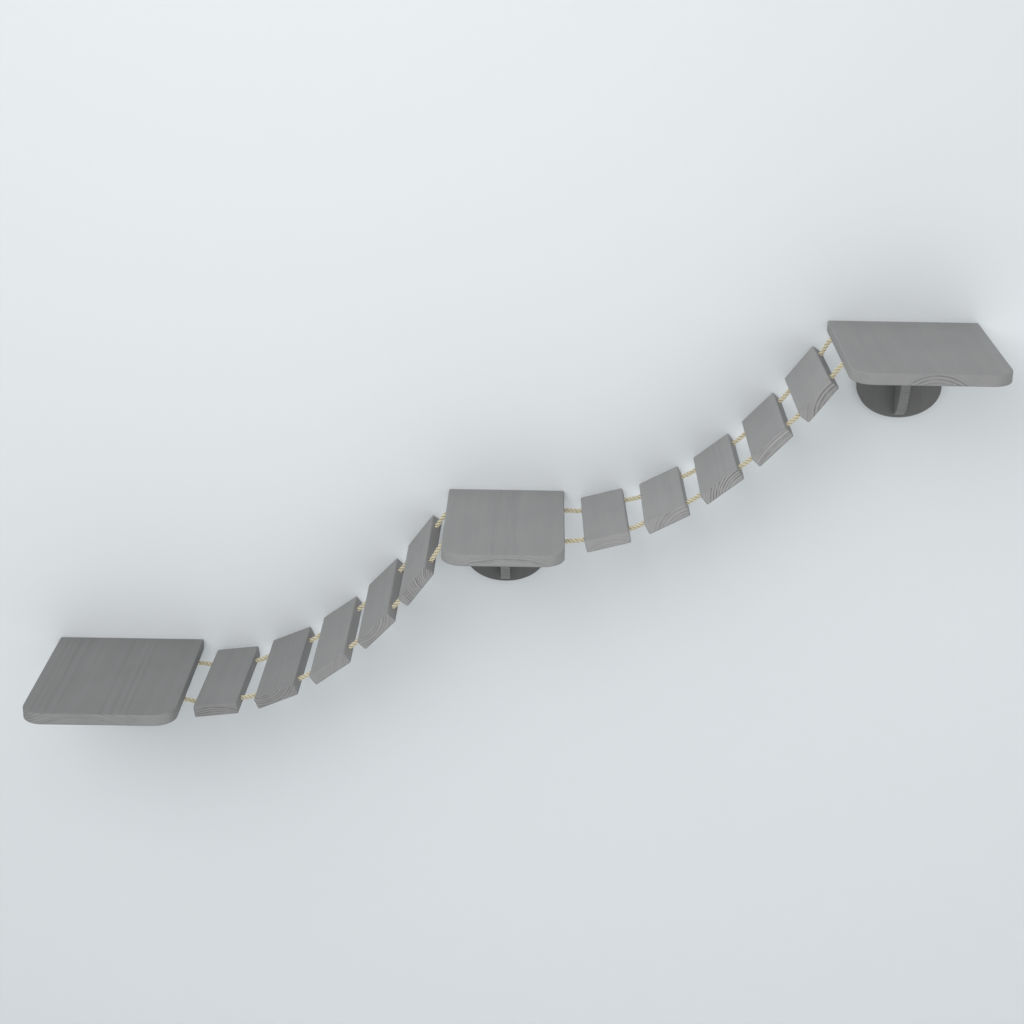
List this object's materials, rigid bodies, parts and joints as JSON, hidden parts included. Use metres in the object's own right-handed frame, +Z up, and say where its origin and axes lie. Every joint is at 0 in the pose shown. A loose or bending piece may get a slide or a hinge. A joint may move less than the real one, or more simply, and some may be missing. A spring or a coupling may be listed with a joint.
{
  "type": "cat wall bridge",
  "caption": "Cat wall bridge: grey-stained timber boards on wooden wall brackets, stepping up along a wall and linked by sagging plank bridges threaded on rope.",
  "frame": {"origin": "centre of the middle wall plate's back face, which lies on the wall", "axes": "+Y into the wall, so the boards stand out towards -Y; +X to the right along the wall; +Z up"},
  "size_m": [1.556, 0.3, 0.7558],
  "materials": {
    "board_wood": "grey-stained pine, satin",
    "plank_wood": "grey-stained pine, satin",
    "bracket_wood": "dark grey-stained pine, matt",
    "rope_fibre": "natural fibre, twisted in 3 strands",
    "screw_steel": "zinc plated"
  },
  "bodies": {
    "root": {"left_board": "board_wood", "middle_board": "board_wood", "right_board": "board_wood", "left_wall_plate": "bracket_wood", "middle_wall_plate": "bracket_wood", "right_wall_plate": "bracket_wood", "left_rib": "bracket_wood", "middle_rib": "bracket_wood", "right_rib": "bracket_wood", "left_rib_upper_screw": "screw_steel", "left_rib_lower_screw": "screw_steel", "middle_rib_upper_screw": "screw_steel", "middle_rib_lower_screw": "screw_steel", "right_rib_upper_screw": "screw_steel", "right_rib_lower_screw": "screw_steel", "left_lower_board_front_pin": "screw_steel", "left_lower_board_rear_pin": "screw_steel", "left_upper_board_front_pin": "screw_steel", "left_upper_board_rear_pin": "screw_steel", "right_lower_board_front_pin": "screw_steel", "right_lower_board_rear_pin": "screw_steel", "right_upper_board_front_pin": "screw_steel", "right_upper_board_rear_pin": "screw_steel"},
    "left_span": {"left_front_rope": "rope_fibre", "left_rear_rope": "rope_fibre"},
    "left_plank_1_unit": {"left_plank_1": "plank_wood", "left_plank_1_front_pin": "screw_steel", "left_plank_1_rear_pin": "screw_steel"},
    "left_plank_2_unit": {"left_plank_2": "plank_wood", "left_plank_2_front_pin": "screw_steel", "left_plank_2_rear_pin": "screw_steel"},
    "left_plank_3_unit": {"left_plank_3": "plank_wood", "left_plank_3_front_pin": "screw_steel", "left_plank_3_rear_pin": "screw_steel"},
    "left_plank_4_unit": {"left_plank_4": "plank_wood", "left_plank_4_front_pin": "screw_steel", "left_plank_4_rear_pin": "screw_steel"},
    "left_plank_5_unit": {"left_plank_5": "plank_wood", "left_plank_5_front_pin": "screw_steel", "left_plank_5_rear_pin": "screw_steel"},
    "right_span": {"right_front_rope": "rope_fibre", "right_rear_rope": "rope_fibre"},
    "right_plank_1_unit": {"right_plank_1": "plank_wood", "right_plank_1_front_pin": "screw_steel", "right_plank_1_rear_pin": "screw_steel"},
    "right_plank_2_unit": {"right_plank_2": "plank_wood", "right_plank_2_front_pin": "screw_steel", "right_plank_2_rear_pin": "screw_steel"},
    "right_plank_3_unit": {"right_plank_3": "plank_wood", "right_plank_3_front_pin": "screw_steel", "right_plank_3_rear_pin": "screw_steel"},
    "right_plank_4_unit": {"right_plank_4": "plank_wood", "right_plank_4_front_pin": "screw_steel", "right_plank_4_rear_pin": "screw_steel"},
    "right_plank_5_unit": {"right_plank_5": "plank_wood", "right_plank_5_front_pin": "screw_steel", "right_plank_5_rear_pin": "screw_steel"}
  },
  "joints": [
    {"name": "left_span_sway", "type": "slide", "parent": "root", "child": "left_span", "axis": [0, 1, 0], "range_m": [-0.008, 0.008], "stiffness_N_per_m": 140, "deforming": ["left_front_rope", "left_rear_rope"]},
    {"name": "left_plank_1_rock", "type": "hinge", "parent": "left_span", "child": "left_plank_1_unit", "pos_m": [-0.46879, -0.12, -0.21922], "axis": [0.0294, 0.9995, 0.0141], "range_deg": [-8, 8], "stiffness_Nm_per_rad": 0.6, "deforming": ["left_front_rope", "left_rear_rope"]},
    {"name": "left_plank_2_rock", "type": "hinge", "parent": "left_span", "child": "left_plank_2_unit", "pos_m": [-0.37006, -0.12, -0.1913], "axis": [0.0186, 0.9992, 0.0348], "range_deg": [-8, 8], "stiffness_Nm_per_rad": 0.6, "deforming": ["left_front_rope", "left_rear_rope"]},
    {"name": "left_plank_3_rock", "type": "hinge", "parent": "left_span", "child": "left_plank_3_unit", "pos_m": [-0.28157, -0.12, -0.13914], "axis": [0.0067, 0.9991, 0.0428], "range_deg": [-8, 8], "stiffness_Nm_per_rad": 0.6, "deforming": ["left_front_rope", "left_rear_rope"]},
    {"name": "left_plank_4_rock", "type": "hinge", "parent": "left_span", "child": "left_plank_4_unit", "pos_m": [-0.20503, -0.12, -0.07048], "axis": [0.0026, 0.9992, 0.0402], "range_deg": [-8, 8], "stiffness_Nm_per_rad": 0.6, "deforming": ["left_front_rope", "left_rear_rope"]},
    {"name": "left_plank_5_rock", "type": "hinge", "parent": "left_span", "child": "left_plank_5_unit", "pos_m": [-0.13933, -0.12, 0.00869], "axis": [0.0083, 0.9994, 0.0324], "range_deg": [-8, 8], "stiffness_Nm_per_rad": 0.6, "deforming": ["left_front_rope", "left_rear_rope"]},
    {"name": "right_span_sway", "type": "slide", "parent": "root", "child": "right_span", "axis": [0, 1, 0], "range_m": [-0.008, 0.008], "stiffness_N_per_m": 140, "deforming": ["right_front_rope", "right_rear_rope"]},
    {"name": "right_plank_1_rock", "type": "hinge", "parent": "right_span", "child": "right_plank_1_unit", "pos_m": [0.16534, -0.12, 0.08493], "axis": [-0.016, 0.9995, -0.0254], "range_deg": [-8, 8], "stiffness_Nm_per_rad": 0.6, "deforming": ["right_front_rope", "right_rear_rope"]},
    {"name": "right_plank_2_rock", "type": "hinge", "parent": "right_span", "child": "right_plank_2_unit", "pos_m": [0.26107, -0.12, 0.12209], "axis": [0.0013, 0.9988, -0.0497], "range_deg": [-8, 8], "stiffness_Nm_per_rad": 0.6, "deforming": ["right_front_rope", "right_rear_rope"]},
    {"name": "right_plank_3_rock", "type": "hinge", "parent": "right_span", "child": "right_plank_3_unit", "pos_m": [0.3473, -0.12, 0.17799], "axis": [0.0157, 0.9983, -0.0556], "range_deg": [-8, 8], "stiffness_Nm_per_rad": 0.6, "deforming": ["right_front_rope", "right_rear_rope"]},
    {"name": "right_plank_4_rock", "type": "hinge", "parent": "right_span", "child": "right_plank_4_unit", "pos_m": [0.42341, -0.12, 0.24714], "axis": [0.0166, 0.9988, -0.0462], "range_deg": [-8, 8], "stiffness_Nm_per_rad": 0.6, "deforming": ["right_front_rope", "right_rear_rope"]},
    {"name": "right_plank_5_rock", "type": "hinge", "parent": "right_span", "child": "right_plank_5_unit", "pos_m": [0.49026, -0.12, 0.32531], "axis": [0.0021, 0.9996, -0.0292], "range_deg": [-8, 8], "stiffness_Nm_per_rad": 0.6, "deforming": ["right_front_rope", "right_rear_rope"]}
  ]
}
